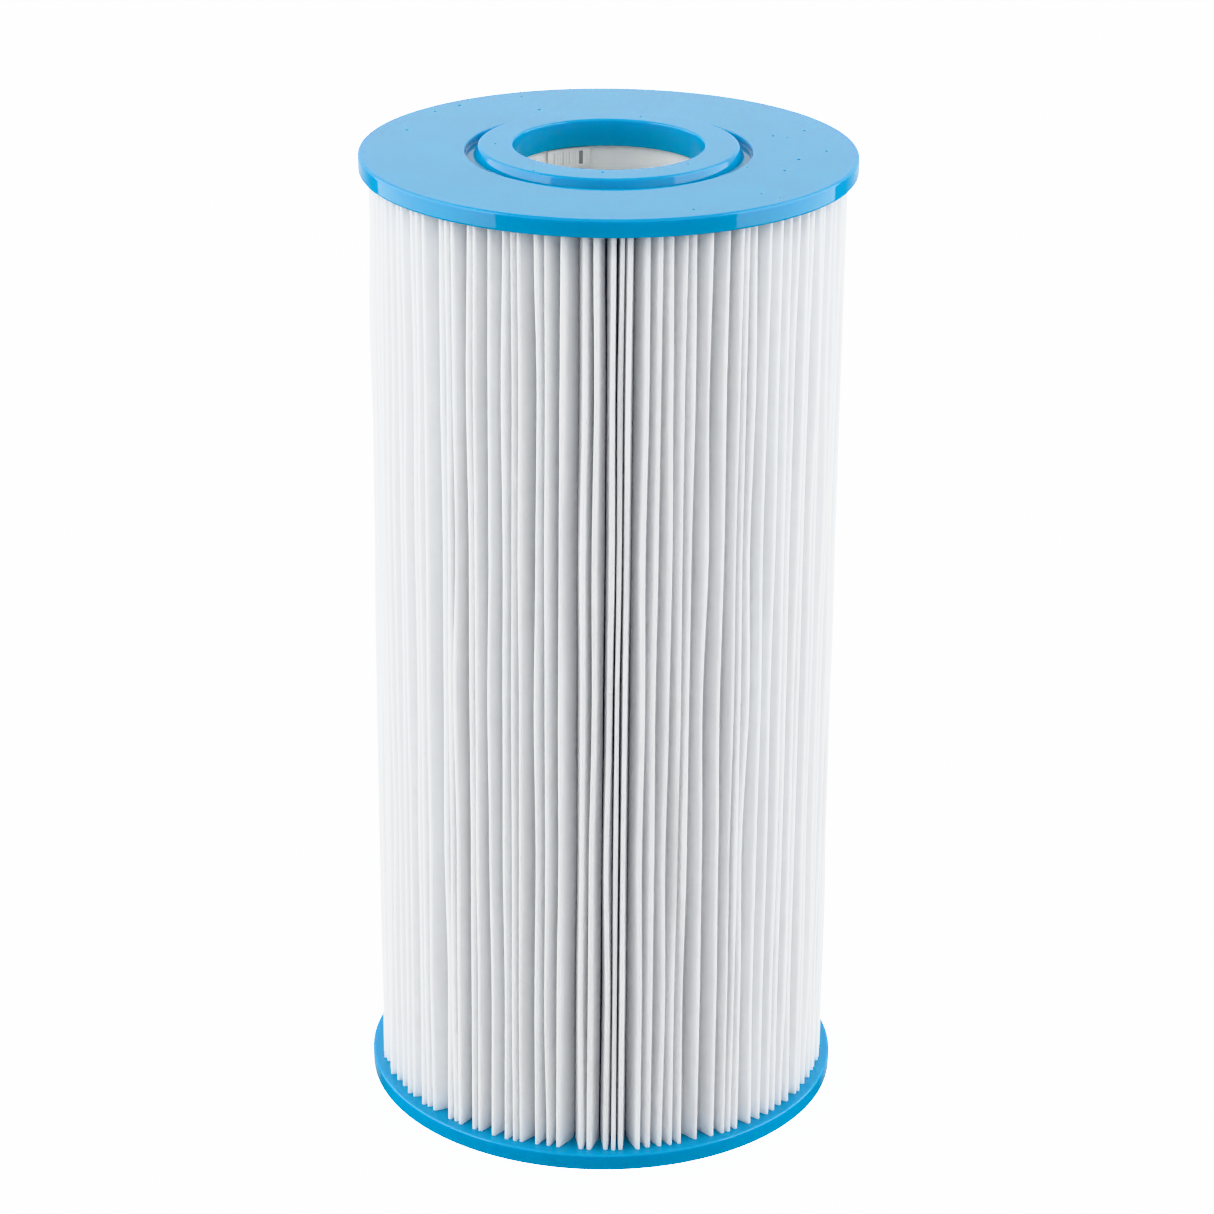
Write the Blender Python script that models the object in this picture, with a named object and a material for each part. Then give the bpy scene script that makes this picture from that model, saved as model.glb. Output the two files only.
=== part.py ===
"""Pleated pool and spa filter cartridge, built from the pieces it is assembled from.

Two cast urethane end caps hold one pleated strip of filter fabric round a core of stacked moulded
sections. A bead of glue joins the strip's two ends in one of its pleats. Each cap has a star-shaped
pocket that the pleat ends and the core stand in, a thin lip that lines the core, and a collar with
a moat round it that seals on the filter housing.

Run it with blender --background --python part.py, or from the text editor. Metres, +Z up; the
origin is on the axis, on the plane that the lower collar stands on.
"""

import math

import bmesh
import bpy
from mathutils import Matrix, Vector

# Overall sizes
OVERALL_LENGTH = 0.3683  # collar face to collar face
CAP_DIAMETER = 0.1778
BORE_DIAMETER = 0.0680

# End cap
FLANGE_THICKNESS = 0.0065
EDGE_ROUND = 0.0006
COLLAR_WALL = 0.0123  # bore wall to the collar's outer edge, at its top
COLLAR_RISE = 0.0022  # how far the collar stands above the flange
COLLAR_DRAFT = 0.0012  # how much wider the collar is at its root
MOAT_WIDTH = 0.0048
MOAT_DEPTH = 0.0024
LIP_WALL = 0.0015
LIP_DROP = 0.0013  # how far the lip reaches into the core, past the flange
POCKET_DEPTH = 0.0030
CAP_SEGMENTS = 64

# Pleated fabric
FABRIC_THICKNESS = 0.0005
PLEAT_PITCH = 0.0047  # round the outer folds
FLANGE_OVERHANG = 0.0039  # from the outer folds to the cap's edge
SEAM_TURN = math.radians(90)  # where the strip's two ends meet, counted from +X towards +Y
SEAM_BEAD_WIDTH = 0.0006
SEAM_BEAD_DEPTH = 0.0060  # inwards from the outer folds

# Core
CORE_SECTIONS = 4
CORE_WALL = 0.0022
SPIGOT_LENGTH = 0.0050
END_BAND = 0.0145  # plain wall at each end of a section
RING_HEIGHT = 0.0045
RIB_WIDTH = 0.0045
WINDOW_ROWS = 3
WINDOW_COLUMNS = 12
ARCS_PER_WINDOW = 2

# Print label inside the core
LABEL_WIDTH = 0.0170
LABEL_HEIGHT = 0.0075
LABEL_THICKNESS = 0.0003
LABEL_BELOW_LIP = 0.0005
LABEL_TURN = math.radians(115)  # middle of the label, counted from +X towards +Y
LABEL_ARCS = 6

CLEARANCE = 0.0003  # between pieces that touch
FULL_TURN = 2 * math.pi

# Radii and heights that follow from them
cap_radius = CAP_DIAMETER / 2
bore_radius = BORE_DIAMETER / 2
collar_radius = bore_radius + COLLAR_WALL
collar_root_radius = collar_radius + COLLAR_DRAFT
moat_radius = collar_radius + MOAT_WIDTH
cap_height = FLANGE_THICKNESS + COLLAR_RISE
lip_radius = bore_radius + LIP_WALL
core_flat_radius = lip_radius + CLEARANCE  # to the middle of a flat of the core's inner wall
column_turn = FULL_TURN / WINDOW_COLUMNS
rib_turn = RIB_WIDTH / (core_flat_radius + CORE_WALL)
arc_turn = (column_turn - rib_turn) / ARCS_PER_WINDOW
core_inner_radius = core_flat_radius / math.cos(arc_turn / 2)
core_outer_radius = core_inner_radius + CORE_WALL
core_split_radius = (core_inner_radius + core_outer_radius) / 2
fold_inner_radius = core_outer_radius + CLEARANCE
fold_outer_radius = cap_radius - FLANGE_OVERHANG
pleat_count = round(FULL_TURN * fold_outer_radius / PLEAT_PITCH)
pleat_turn = FULL_TURN / pleat_count
seam_half_gap = SEAM_BEAD_WIDTH / 2 + CLEARANCE
lower_flange_z = cap_height  # inner faces of the two flanges
upper_flange_z = OVERALL_LENGTH - cap_height
seat_depth = POCKET_DEPTH - CLEARANCE  # how far the core and the fabric stand in a pocket
seat_bottom_z = lower_flange_z - seat_depth
seat_top_z = upper_flange_z + seat_depth


def clear_scene():
    """Remove what the startup scene holds."""
    for old in list(bpy.data.objects):
        bpy.data.objects.remove(old)


def make_material(name, colour, roughness, metallic=0.0):
    """A Principled BSDF of one colour."""
    material = bpy.data.materials.new(name)
    material.use_nodes = True
    shader = material.node_tree.nodes["Principled BSDF"]
    shader.inputs["Base Color"].default_value = (*colour, 1.0)
    shader.inputs["Roughness"].default_value = roughness
    shader.inputs["Metallic"].default_value = metallic
    return material


def add_object(name, mesh, material=None, smooth_below=35):
    """Link a mesh as a named object, smooth where its faces meet at under smooth_below degrees."""
    mesh.shade_smooth()
    mesh.set_sharp_from_angle(angle=math.radians(smooth_below))
    if material and not mesh.materials:
        mesh.materials.append(material)
    obj = bpy.data.objects.new(name, mesh)
    bpy.context.scene.collection.objects.link(obj)
    return obj


def add_cutter(name, bm):
    """Link a hidden mesh that only cuts."""
    obj = add_object(name, mesh_from(name, bm))
    obj.hide_render = True
    obj.display_type = "WIRE"
    return obj


def mesh_from(name, bm):
    """Close off a bmesh: merge doubles, face everything outwards, and store it."""
    bmesh.ops.remove_doubles(bm, verts=bm.verts, dist=1e-6)
    bmesh.ops.recalc_face_normals(bm, faces=bm.faces)
    mesh = bpy.data.meshes.new(name)
    bm.to_mesh(mesh)
    bm.free()
    return mesh


def polar(radius, turn, z=0.0):
    """The point at this radius and turn about the axis."""
    return Vector((radius * math.cos(turn), radius * math.sin(turn), z))


def chamfered(corners):
    """A closed outline of (radius, z, chamfer) corners, with each chamfer as two points."""
    points = []
    for i, (radius, z, chamfer) in enumerate(corners):
        here = Vector((radius, z))
        if not chamfer:
            points.append(here)
            continue
        for other in (corners[i - 1], corners[(i + 1) % len(corners)]):
            along = Vector(other[:2]) - here
            points.append(here + along.normalized() * min(chamfer, along.length / 3))
    return points


def turned(outline, segments):
    """Spin a closed outline of (radius, z) points about the Z axis."""
    bm = bmesh.new()
    verts = [bm.verts.new((point[0], 0.0, point[1])) for point in outline]
    edges = [bm.edges.new((verts[i - 1], verts[i])) for i in range(len(verts))]
    bmesh.ops.spin(bm, geom=verts + edges, cent=(0, 0, 0), axis=(0, 0, 1),
                   angle=FULL_TURN, steps=segments, use_merge=True)
    return bm


def extruded(loops, low, high):
    """A straight-sided solid over the area that closed loops of points leave between them."""
    bm = bmesh.new()
    edges = []
    for loop in loops:
        verts = [bm.verts.new(point) for point in loop]
        edges += [bm.edges.new((verts[i - 1], verts[i])) for i in range(len(verts))]
    filled = bmesh.ops.triangle_fill(bm, edges=edges, use_beauty=True)
    faces = [item for item in filled["geom"] if isinstance(item, bmesh.types.BMFace)]
    bmesh.ops.translate(bm, verts=bm.verts, vec=(0, 0, low))
    raised = bmesh.ops.extrude_face_region(bm, geom=faces, use_keep_orig=True)
    top = [item for item in raised["geom"] if isinstance(item, bmesh.types.BMVert)]
    bmesh.ops.translate(bm, verts=top, vec=(0, 0, high - low))
    return bm


def cut(obj, cutter):
    """Take the cutter's shape out of the object."""
    modifier = obj.modifiers.new(cutter.name, "BOOLEAN")
    modifier.operation = "DIFFERENCE"
    modifier.solver = "EXACT"
    modifier.object = cutter


def evaluated_mesh(obj, name):
    """The object's mesh with its modifiers applied."""
    graph = bpy.context.evaluated_depsgraph_get()
    mesh = bpy.data.meshes.new_from_object(obj.evaluated_get(graph), depsgraph=graph)
    mesh.name = name
    return mesh


def cap_outline():
    """Half section of an end cap: z is 0 on the flange's inner face and rises outwards."""
    moat_floor = FLANGE_THICKNESS - MOAT_DEPTH
    return chamfered((
        (bore_radius, -LIP_DROP, 0),
        (bore_radius, cap_height, EDGE_ROUND),
        (collar_radius, cap_height, EDGE_ROUND),
        (collar_root_radius, moat_floor, 0),
        (moat_radius, moat_floor, 0),
        (moat_radius, FLANGE_THICKNESS, EDGE_ROUND),
        (cap_radius, FLANGE_THICKNESS, EDGE_ROUND),
        (cap_radius, 0, EDGE_ROUND),
        (lip_radius, 0, 0),
        (lip_radius, -LIP_DROP, 0),
    ))


def tip_half_width(pleat):
    """Half the width of a pleat at its outer fold. The seam pleat also holds the bead."""
    return FABRIC_THICKNESS + (seam_half_gap if pleat == 0 else 0)


def land_tip_radius():
    """How near the axis the pocket's lands reach, between two pleats, a clearance off both."""
    fold_corner = Vector((fold_outer_radius, tip_half_width(0)))
    valley = polar(fold_inner_radius + FABRIC_THICKNESS, pleat_turn / 2).to_2d()
    along = (fold_corner - valley).normalized()
    towards_land = Vector((-along.y, along.x))
    start = valley + towards_land * CLEARANCE
    middle = polar(1.0, pleat_turn / 2).to_2d()
    # The moved face, start + along * reach, crosses the land's middle line where both are in line.
    reach = middle.cross(start) / along.cross(middle)
    return (start + along * reach).dot(middle)


def pocket_cutter(name):
    """The star-shaped pocket that the pleat ends and the core stand in, with room for the lip."""
    tip_radius = fold_outer_radius + CLEARANCE
    land_radius = land_tip_radius()
    star = []
    for pleat in range(pleat_count):
        middle = SEAM_TURN + pleat * pleat_turn
        corner_turn = (tip_half_width(pleat) + CLEARANCE) / fold_outer_radius
        star += [
            polar(tip_radius, middle - corner_turn),
            polar(tip_radius, middle + corner_turn),
            polar(land_radius, middle + pleat_turn / 2),
        ]
    hole = [polar(lip_radius, i * FULL_TURN / CAP_SEGMENTS) for i in range(CAP_SEGMENTS)]
    clear_of_flange = -2 * LIP_DROP
    return add_cutter(name, extruded((star, hole), clear_of_flange, POCKET_DEPTH))


def end_caps(material):
    """The two end caps, one casting turned over for the lower end."""
    blank = add_object("cap_blank", mesh_from("cap_blank", turned(cap_outline(), CAP_SEGMENTS)))
    blank.hide_render = True
    blank.display_type = "WIRE"
    cut(blank, pocket_cutter("pocket_cutter"))
    mesh = evaluated_mesh(blank, "end_cap")
    top = add_object("top_end_cap", mesh, material)
    top.location.z = upper_flange_z
    bottom = add_object("bottom_end_cap", mesh, material)
    bottom.location.z = lower_flange_z
    # Turned over about the direction of the seam, so that both pockets' wide slots meet it.
    bottom.rotation_euler = (math.pi, 0, 2 * SEAM_TURN)
    return [top, bottom]


def pleated_strip(material):
    """One strip folded to and fro between the core and the outer folds, open at the seam pleat."""
    sheet = FABRIC_THICKNESS
    corner_out = sheet / fold_outer_radius
    corner_in = sheet / fold_inner_radius
    end_inside = seam_half_gap / fold_outer_radius
    end_outside = tip_half_width(0) / fold_outer_radius
    outside = [polar(fold_outer_radius, SEAM_TURN + end_outside)]
    inside = [polar(fold_outer_radius, SEAM_TURN + end_inside)]
    for pleat in range(pleat_count):
        fold = SEAM_TURN + pleat * pleat_turn
        valley = fold + pleat_turn / 2
        if pleat > 0:
            outside += [polar(fold_outer_radius, fold - corner_out),
                        polar(fold_outer_radius, fold + corner_out)]
            inside.append(polar(fold_outer_radius - sheet, fold))
        outside.append(polar(fold_inner_radius + sheet, valley))
        inside += [polar(fold_inner_radius, valley - corner_in),
                   polar(fold_inner_radius, valley + corner_in)]
    outside.append(polar(fold_outer_radius, SEAM_TURN - end_outside))
    inside.append(polar(fold_outer_radius, SEAM_TURN - end_inside))
    strip = extruded([outside + inside[::-1]], seat_bottom_z, seat_top_z)
    return add_object("pleated_media", mesh_from("pleated_media", strip), material)


def seam_bead(material):
    """The bead of glue between the strip's two ends, flush with the outer folds."""
    bm = bmesh.new()
    bmesh.ops.create_cube(bm, size=1.0)
    height = seat_top_z - seat_bottom_z
    bmesh.ops.scale(bm, verts=bm.verts, vec=(SEAM_BEAD_DEPTH, SEAM_BEAD_WIDTH, height))
    obj = add_object("media_seam_bead", mesh_from("media_seam_bead", bm), material)
    obj.rotation_euler.z = SEAM_TURN
    obj.location = polar(fold_outer_radius - SEAM_BEAD_DEPTH / 2, SEAM_TURN,
                         (seat_bottom_z + seat_top_z) / 2)
    return obj


def core_wall_turns():
    """Turns of the core wall's edges, and whether each strip that starts there is a window's."""
    turns = []
    for column in range(WINDOW_COLUMNS):
        start = column * column_turn
        turns.append((start, False))
        turns += [(start + rib_turn + arc * arc_turn, True) for arc in range(ARCS_PER_WINDOW)]
    return turns


def window_levels(height):
    """The low and high edges of each row of windows in a core section."""
    rings = (WINDOW_ROWS - 1) * RING_HEIGHT
    window_height = (height - 2 * END_BAND - rings) / WINDOW_ROWS
    lows = [END_BAND + row * (window_height + RING_HEIGHT) for row in range(WINDOW_ROWS)]
    return [z for low in lows for z in (low, low + window_height)]


def core_section(number, low, height, material):
    """One moulded core section: a tube of ribs and rings, with a socket below and a spigot above."""
    levels = window_levels(height)
    socket_radius = core_split_radius + CLEARANCE / 2
    spigot_radius = core_split_radius - CLEARANCE / 2
    spigot_top = height + SPIGOT_LENGTH - CLEARANCE
    if number > 1:
        foot = [(core_inner_radius, SPIGOT_LENGTH), (socket_radius, SPIGOT_LENGTH),
                (socket_radius, 0)]
    else:
        foot = [(core_inner_radius, 0)]
    if number < CORE_SECTIONS:
        head = [(spigot_radius, height), (spigot_radius, spigot_top),
                (core_inner_radius, spigot_top)]
    else:
        head = [(core_inner_radius, height)]
    outer_wall = [(core_outer_radius, z) for z in [0, *levels, height]]
    inner_wall = [(core_inner_radius, z) for z in reversed(levels)]
    outline = foot + outer_wall + head + inner_wall

    turns = core_wall_turns()
    bm = bmesh.new()
    rows = [[bm.verts.new(polar(radius, turn, z)) for turn, _ in turns] for radius, z in outline]
    first_outer = len(foot) + 1
    outer_rows = range(first_outer, first_outer + len(levels))
    inner_rows = range(len(outline) - 1, len(outline) - 1 - len(levels), -1)
    window_faces = set()
    for low_index in range(0, len(levels), 2):
        window_faces.add(outer_rows[low_index])
        window_faces.add(inner_rows[low_index + 1])
    for row in range(len(outline)):
        next_row = (row + 1) % len(outline)
        for column, (_, in_window) in enumerate(turns):
            if in_window and row in window_faces:
                continue
            after = (column + 1) % len(turns)
            bm.faces.new((rows[row][column], rows[row][after],
                          rows[next_row][after], rows[next_row][column]))
    add_window_reveals(bm, rows, outer_rows, inner_rows, turns)
    name = f"core_section_{number}"
    obj = add_object(name, mesh_from(name, bm), material)
    obj.location.z = low
    return obj


def add_window_reveals(bm, rows, outer_rows, inner_rows, turns):
    """The sills, heads and sides of the windows, between the tube's outer and inner walls."""
    for outer_row, inner_row in zip(outer_rows, inner_rows):
        outer, inner = rows[outer_row], rows[inner_row]
        for column, (_, in_window) in enumerate(turns):
            after = (column + 1) % len(turns)
            if in_window:
                bm.faces.new((outer[column], outer[after], inner[after], inner[column]))
    for low in range(0, len(outer_rows), 2):
        outer_low, outer_high = rows[outer_rows[low]], rows[outer_rows[low + 1]]
        inner_low, inner_high = rows[inner_rows[low]], rows[inner_rows[low + 1]]
        for column, (_, in_window) in enumerate(turns):
            before_in_window = turns[column - 1][1]
            if in_window != before_in_window:
                bm.faces.new((outer_low[column], outer_high[column],
                              inner_high[column], inner_low[column]))


def core(material):
    """The stacked core sections, bottom one first, with a small gap at each joint."""
    joints = CORE_SECTIONS - 1
    height = (seat_top_z - seat_bottom_z - joints * CLEARANCE) / CORE_SECTIONS
    return [
        core_section(i + 1, seat_bottom_z + i * (height + CLEARANCE), height, material)
        for i in range(CORE_SECTIONS)
    ]


def core_label(material):
    """A label that lines a strip of the core's wall, just below the upper cap."""
    outer_radius = core_flat_radius - CLEARANCE
    inner_radius = outer_radius - LABEL_THICKNESS
    half_turn = LABEL_WIDTH / outer_radius / 2
    high = upper_flange_z - LIP_DROP - LABEL_BELOW_LIP
    bm = bmesh.new()
    outline = [(inner_radius, high - LABEL_HEIGHT), (outer_radius, high - LABEL_HEIGHT),
               (outer_radius, high), (inner_radius, high)]
    face = bm.faces.new([bm.verts.new((radius, 0.0, z)) for radius, z in outline])
    bmesh.ops.spin(bm, geom=[face], cent=(0, 0, 0), axis=(0, 0, 1),
                   angle=2 * half_turn, steps=LABEL_ARCS, use_duplicate=False)
    bmesh.ops.rotate(bm, verts=bm.verts, cent=(0, 0, 0),
                     matrix=Matrix.Rotation(LABEL_TURN - half_turn, 3, "Z"))
    return add_object("core_label", mesh_from("core_label", bm), material)


def main():
    clear_scene()
    blue = make_material("cast_urethane_blue", (0.01, 0.30, 0.62), 0.25)
    fabric = make_material("spunbond_polyester", (0.86, 0.87, 0.89), 0.9)
    white = make_material("moulded_abs_white", (0.82, 0.82, 0.80), 0.45)
    paper = make_material("label_paper", (0.88, 0.87, 0.85), 0.7)
    glue = make_material("seam_glue", (0.80, 0.78, 0.70), 0.35)
    pieces = end_caps(blue) + core(white)
    pieces += [pleated_strip(fabric), seam_bead(glue), core_label(paper)]
    cartridge = bpy.data.objects.new("filter_cartridge", None)
    bpy.context.scene.collection.objects.link(cartridge)
    for piece in pieces:
        piece.parent = cartridge


main()
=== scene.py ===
"""Looks of a pleated pool and spa filter cartridge, built round its packed CAD frame.

It is laid out as an add-on: a panel in the 3D view's sidebar lists one operator for each group of
pieces and one for the stage, and the property groups hold the sizes and colours to change.
"""

import contextlib
import math

import bmesh
import bpy
import numpy as np
from bpy.props import FloatProperty, FloatVectorProperty, IntProperty, PointerProperty
from mathutils import Matrix, Vector


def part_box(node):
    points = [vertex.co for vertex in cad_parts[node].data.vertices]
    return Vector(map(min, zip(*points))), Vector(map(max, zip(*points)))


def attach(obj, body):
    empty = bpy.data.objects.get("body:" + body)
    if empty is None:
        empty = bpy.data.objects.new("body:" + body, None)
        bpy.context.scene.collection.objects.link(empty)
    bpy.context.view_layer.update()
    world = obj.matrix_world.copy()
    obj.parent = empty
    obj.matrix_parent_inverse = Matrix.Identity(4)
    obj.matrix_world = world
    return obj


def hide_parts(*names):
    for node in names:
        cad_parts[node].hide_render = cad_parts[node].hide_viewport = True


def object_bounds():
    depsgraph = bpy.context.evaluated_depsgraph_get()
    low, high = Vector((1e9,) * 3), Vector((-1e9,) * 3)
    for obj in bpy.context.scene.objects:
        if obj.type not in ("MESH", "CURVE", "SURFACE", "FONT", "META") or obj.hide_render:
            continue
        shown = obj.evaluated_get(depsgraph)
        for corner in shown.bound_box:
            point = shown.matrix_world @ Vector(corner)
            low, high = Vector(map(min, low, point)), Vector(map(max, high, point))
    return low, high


bl_info = {
    "name": "Pleated filter cartridge",
    "version": (1, 0, 0),
    "blender": (4, 5, 0),
    "location": "3D View > Sidebar > Cartridge",
    "description": "Models a pleated filter cartridge round its frame, with its stage",
    "category": "Mesh",
}

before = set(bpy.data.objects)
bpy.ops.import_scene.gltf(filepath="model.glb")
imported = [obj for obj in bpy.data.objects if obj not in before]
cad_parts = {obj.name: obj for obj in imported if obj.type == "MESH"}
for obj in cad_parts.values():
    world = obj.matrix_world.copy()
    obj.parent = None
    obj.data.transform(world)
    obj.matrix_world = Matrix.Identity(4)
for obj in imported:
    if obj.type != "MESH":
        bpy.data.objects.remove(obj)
cad_low, cad_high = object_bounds()
media_low, media_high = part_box("pleated_media")
CORE_NODES = sorted(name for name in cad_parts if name.startswith("core_section"))
FULL_TURN = 2 * math.pi
EPSILON = 1e-5
FOLD_LEVELS = 7  # heights at which each fold's stray is drawn
FOLD_PUSHES = 60  # rounds in which folds that stand too close push each other apart
LEAST_VALLEY, VALLEY_SPREAD = 0.00015, 0.0003  # a valley's middle to its wall, at the shoulders
FOLD_PLUMPNESS = 0.7, 1.35  # least and most, as shares of an outer fold's radius
SWAY_WAVES = 5, 8, 13  # how many times the pleats sway to and fro round the cartridge
PIT_MARGIN = 0.0015
PIT_SIZES = 0.00045, 0.0008
BEAD_STEPS = 60
BEAD_SWELL = 0.00012
LIGHT_BOUNCES = 24  # light crosses many layers of fabric


# Sizes and colours that a user would change


def length(name, description, default):
    return FloatProperty(name=name, description=description, default=default, min=0,
                         precision=4, unit="LENGTH")


def turn(name, description, degrees):
    return FloatProperty(name=name, description=description, default=math.radians(degrees),
                         subtype="ANGLE")


def number(name, description, default):
    return FloatProperty(name=name, description=description, default=default)


def count(name, description, default):
    return IntProperty(name=name, description=description, default=default, min=0)


def colour(name, description, default):
    return FloatVectorProperty(name=name, description=description, default=default,
                               subtype="COLOR", size=3, min=0, max=1)


class CapSettings(bpy.types.PropertyGroup):
    """The two cast end caps."""

    radius: length("Radius", "Axis to the rim", cad_high.x)
    flange: length("Flange thickness", "Height of the rim", 0.0065)
    bore_radius: length("Bore radius", "Axis to the bore's wall", 0.0340)
    collar_wall: length("Collar wall", "Bore to the collar's outer edge", 0.0123)
    collar_rise: length("Collar rise", "Collar face above the flange", 0.0022)
    collar_draft: length("Collar draft", "How much wider the collar is at its root", 0.0012)
    moat_width: length("Moat width", "Groove round the collar, at its floor", 0.0036)
    moat_depth: length("Moat depth", "Flange face down to the moat's floor", 0.0024)
    lip_wall: length("Lip wall", "Thickness of the lip that lines the core", 0.0015)
    lip_drop: length("Lip drop", "How far the lip reaches into the core", 0.0013)
    edge_round: length("Edge rounding", "Radius of the cast edges", 0.00045)
    brim_round: length("Brim rounding", "Radius of the rim's outer edge", 0.0010)
    ledge_round: length("Ledge rounding", "Radius of the collar's and the bore's edges", 0.0008)
    moat_fillet: length("Moat fillet", "Radius where the collar meets the moat's floor", 0.0009)
    sides: count("Sides", "Segments round the cap", 192)
    pits: count("Air bubbles", "Open bubbles in the outer face", 20)
    blue: colour("Urethane", "Colour of the cast urethane", (0.0, 0.275, 0.51))


class MediaSettings(bpy.types.PropertyGroup):
    """The pleated strip and its seam."""

    outer_radius: length("Outer folds", "Axis to the outer folds", max(media_high.x, media_high.y))
    inner_radius: length("Inner folds", "Axis to the inner folds", 0.0385)
    pleats: count("Pleats", "Folds round the cartridge", 114)
    fabric: length("Fabric thickness", "Thickness of the strip", 0.0005)
    outer_fold: length("Outer fold", "Radius of an outer fold, at mid thickness", 0.0006)
    inner_fold: length("Inner fold", "Radius of an inner fold, at mid thickness", 0.0005)
    least_pitch: length("Least pitch", "Nearest that two outer folds come", 0.0026)
    scatter: length("Scatter", "How unevenly the folds stand, along their whole length", 0.0013)
    wander: length("Wander", "How far a fold strays sideways on its way up", 0.00035)
    ripple: length("Ripple", "Small dents along a fold", 0.000012)
    shoulder: number("Shoulder", "Share of the depth where the pleats bulge most", 0.18)
    sway: length("Sway", "How far pleats curve sideways at their shoulders", 0.0016)
    unevenness: length("Unevenness", "How unequal the pleats' depths are", 0.0003)
    bite: length("Potting bite", "How far the strip runs into each cap", 0.0003)
    rings: count("Rings", "Rows of points up the strip", 42)
    seed: count("Seed", "Picks the folds' irregularities", 3381)
    white: colour("Fabric", "Colour of the filter fabric", (0.975, 0.98, 0.985))
    light_through: number("Light through", "Share of the light that the fabric lets through", 0.48)


class CoreSettings(bpy.types.PropertyGroup):
    """The stacked core sections inside the pleats."""

    wall: length("Wall", "Thickness of the core's wall", 0.0022)
    spigot: length("Spigot", "Length of the lap between two sections", 0.0050)
    gap: length("Joint gap", "Clearance in the lap joints", 0.0003)
    end_band: length("End band", "Plain wall at each end of a section", 0.0145)
    ring: length("Ring", "Wall between two rows of windows", 0.0045)
    rib: length("Rib", "Wall between two columns of windows", 0.0045)
    corner: length("Window corner", "Radius of a window's corners", 0.0018)
    rows: count("Window rows", "Rows of windows in a section", 3)
    columns: count("Window columns", "Windows round a section", 12)
    sides: count("Sides", "Segments round a section", 96)
    white: colour("Plastic", "Colour of the moulded core", (0.96, 0.935, 0.885))


class LabelSettings(bpy.types.PropertyGroup):
    """The label inside the core and the bead in the media's seam."""

    bar_grey: colour("Bars", "Colour of the printed bars", (0.26, 0.27, 0.27))
    paper: colour("Paper", "Colour of the label", (0.80, 0.79, 0.765))
    glue: colour("Glue", "Colour of the seam's bead", (0.74, 0.70, 0.58))


class StageSettings(bpy.types.PropertyGroup):
    """Camera, floor and lights."""

    lens: number("Focal length", "Camera's focal length in mm", 109.27)
    camera_back: length("Camera back", "Camera to the cartridge's axis, level", 1.2707)
    camera_up: length("Camera up", "Camera's height above the floor", 0.7096)
    camera_side: length("Camera side", "Camera to the right of the axis", 0.0008)
    camera_down: turn("Camera pitch", "Below the horizon", 22.203)
    camera_roll: turn("Camera roll", "Clockwise turn of the picture", 0.5)
    left_watts: number("Left softbox", "Power in W", 18.5)
    right_watts: number("Right softbox", "Power in W", 15.0)
    zenith: number("Overhead", "Brightness of the surround overhead", 0.7)
    back_sky: number("Back", "Brightness of the surround behind", 1.15)
    front_sky: number("Front", "Brightness of the surround on the camera's side", 0.80)
    side_sky: number("Front corners", "Extra brightness to the left and right of the camera", 0.6)
    low_back: number("Low back", "Brightness from below, behind and beside", 0.9)
    low_front: number("Low front", "Brightness from below, on the camera's side", 0.3)
    low_gloss: number("Low reflection", "Share of the light from below that gloss shows", 0.08)
    floor_glow: number("Floor glow", "Light that the floor shows of its own", 8.0)
    floor: colour("Floor", "Colour of the pale floor", (0.92, 0.92, 0.92))


# Edit-mode helpers


def deselect_all():
    bpy.ops.object.select_all(action="DESELECT")


def make_active(obj):
    deselect_all()
    obj.select_set(True)
    bpy.context.view_layer.objects.active = obj


@contextlib.contextmanager
def editing(obj, mode="FACE"):
    """Edit mode on one object, with nothing selected."""
    make_active(obj)
    bpy.ops.object.mode_set(mode="EDIT")
    bpy.ops.mesh.select_mode(type=mode)
    bpy.ops.mesh.select_all(action="DESELECT")
    yield
    bpy.ops.object.mode_set(mode="OBJECT")


def pick(obj, kind, test):
    """Select just the verts, edges or faces that pass a test."""
    bpy.ops.mesh.select_mode(type={"verts": "VERT", "edges": "EDGE", "faces": "FACE"}[kind])
    bpy.ops.mesh.select_all(action="DESELECT")
    bm = bmesh.from_edit_mesh(obj.data)
    for item in getattr(bm, kind):
        if test(item):
            item.select_set(True)
    bm.select_flush_mode()
    bmesh.update_edit_mesh(obj.data)


def middle(item):
    """Middle of an edge or a face."""
    return sum((vert.co for vert in item.verts), Vector()) / len(item.verts)


def reach(co):
    """Distance from the cartridge's axis."""
    return math.hypot(co.x, co.y)


def bearing(co):
    """Angle round the cartridge's axis."""
    return math.atan2(co.y, co.x)


def is_ring_edge(edge, radius, z):
    """True for an edge that runs round the axis at this radius and height."""
    return all(abs(reach(vert.co) - radius) < EPSILON and abs(vert.co.z - z) < EPSILON
               for vert in edge.verts)


def extrude_by(z):
    bpy.ops.mesh.extrude_region_move(TRANSFORM_OT_translate={"value": (0, 0, z)})


def apply_modifier(obj, kind, **settings):
    """Add a modifier and apply it."""
    make_active(obj)
    modifier = obj.modifiers.new(kind.lower(), kind)
    for name, value in settings.items():
        setattr(modifier, name, value)
    bpy.ops.object.modifier_apply(modifier=modifier.name)


def apply_place(obj):
    """Move an object's place into its mesh."""
    make_active(obj)
    bpy.ops.object.transform_apply(location=True, rotation=True, scale=True)


def copy_of(obj, name):
    """A copy with a mesh of its own."""
    make_active(obj)
    bpy.ops.object.duplicate()
    twin = bpy.context.active_object
    twin.name = name
    return twin


def smooth(obj, degrees=35):
    """Smooth shading, except across edges sharper than this."""
    make_active(obj)
    bpy.ops.object.shade_smooth_by_angle(angle=math.radians(degrees))


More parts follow.
